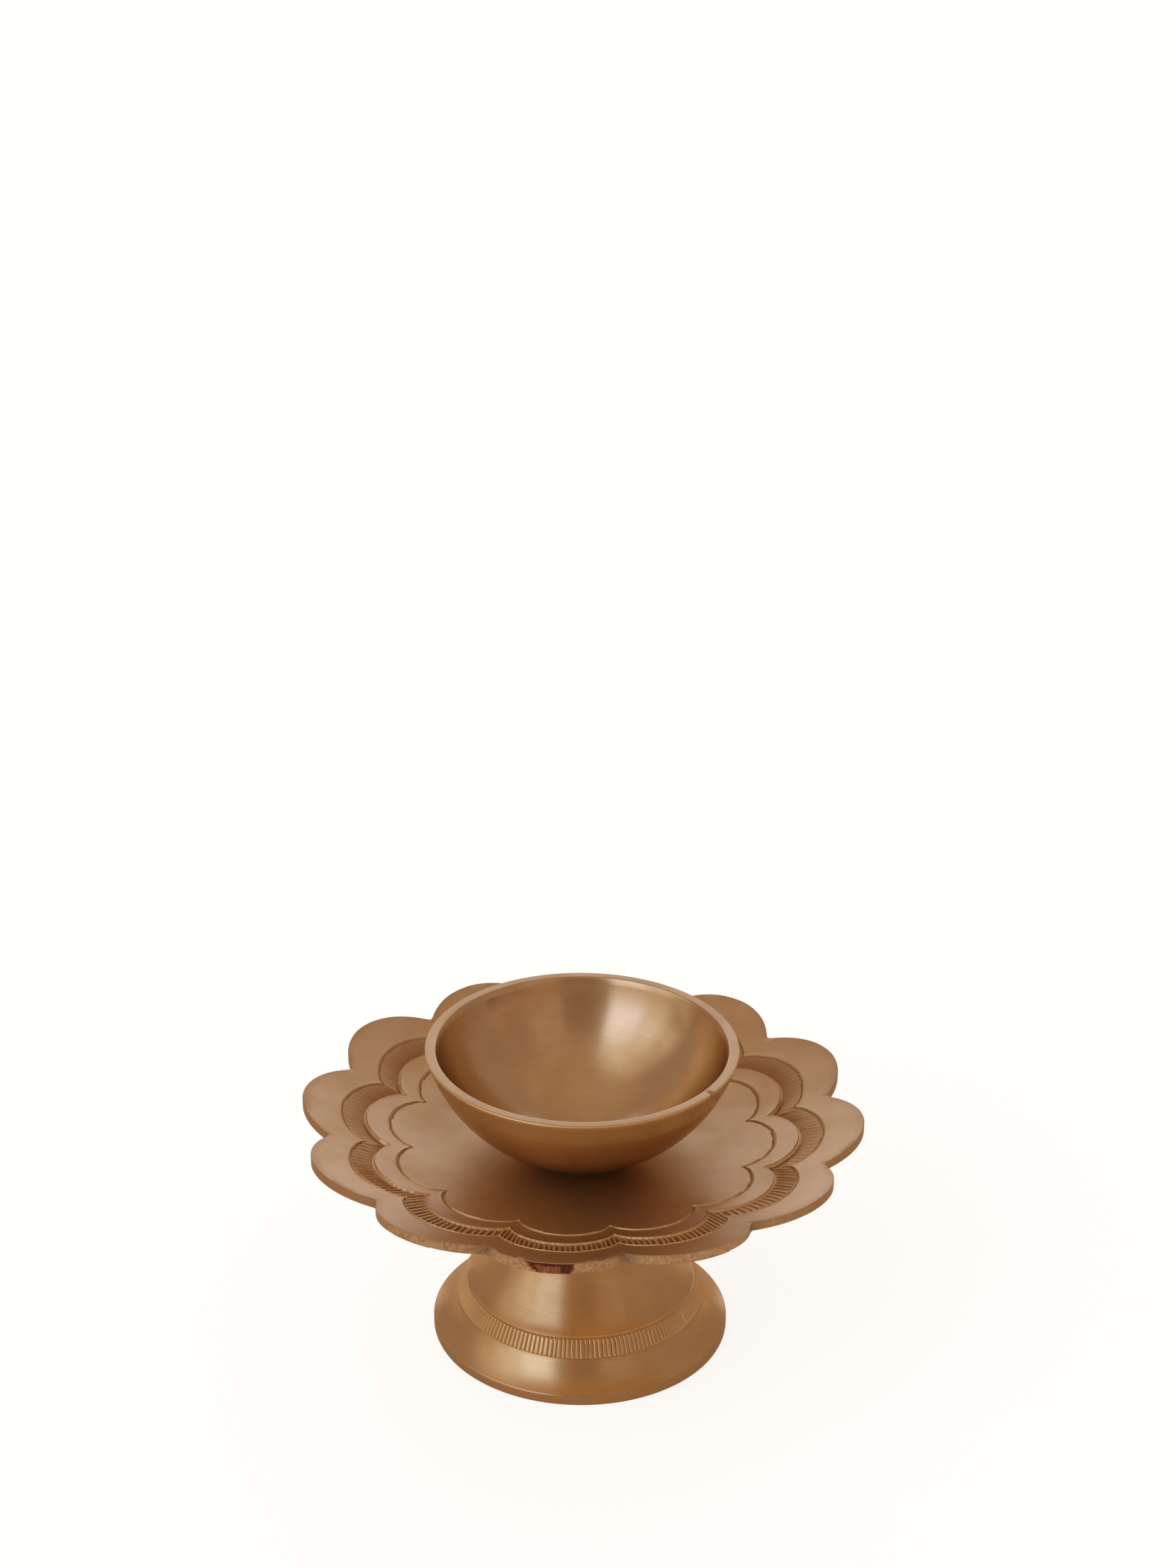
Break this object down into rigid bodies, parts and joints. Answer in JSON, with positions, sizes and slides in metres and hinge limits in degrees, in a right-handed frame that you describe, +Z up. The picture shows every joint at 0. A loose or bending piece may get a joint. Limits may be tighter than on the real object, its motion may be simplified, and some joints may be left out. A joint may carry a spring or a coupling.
{
  "type": "diya oil lamp",
  "caption": "Brass oil lamp: a round oil bowl on a dished, scalloped petal plate with an engraved band, bolted to a hollow flared foot with a milled band.",
  "frame": {"origin": "centre of the foot's resting face, on the table", "axes": "+Z up along the lamp's axis; -Y towards the viewer, with the first petal notch 9.6 degrees from -Y towards +X; +X to the viewer's right"},
  "size_m": [0.1136, 0.1136, 0.065],
  "materials": {
    "bowl_brass": "lathe-turned satin, warm brown-gold",
    "plate_brass": "satin face, chisel-cut engraving, filed edge",
    "foot_brass": "lathe-turned satin, milled band",
    "fitting_brass": "machined",
    "hardware_steel": "dull zinc plating"
  },
  "bodies": {
    "foot": {"pedestal_foot": "foot_brass"},
    "plate": {"petal_plate": "plate_brass"},
    "bowl": {"bowl": "bowl_brass", "bowl_boss": "fitting_brass", "tie_stud": "fitting_brass"},
    "washer": {"flat_washer": "hardware_steel"},
    "nut": {"hex_nut": "hardware_steel"}
  },
  "joints": [
    {"name": "plate_lift", "type": "slide", "parent": "foot", "child": "plate", "axis": [0, 0, 1], "range_m": [0, 0.015]},
    {"name": "bowl_lift", "type": "slide", "parent": "plate", "child": "bowl", "axis": [0, 0, 1], "range_m": [0, 0.02]},
    {"name": "washer_drop", "type": "slide", "parent": "foot", "child": "washer", "axis": [0, 0, -1], "range_m": [0, 0.0064]},
    {"name": "nut_turn", "type": "hinge", "parent": "washer", "child": "nut", "pos_m": [0, 0, 0.0322], "axis": [0, 0, -1], "range_deg": [0, 2881]}
  ],
  "couplings": [
    {"joint": "nut_turn", "follows": "washer_drop", "rad_per_m": 7854}
  ]
}
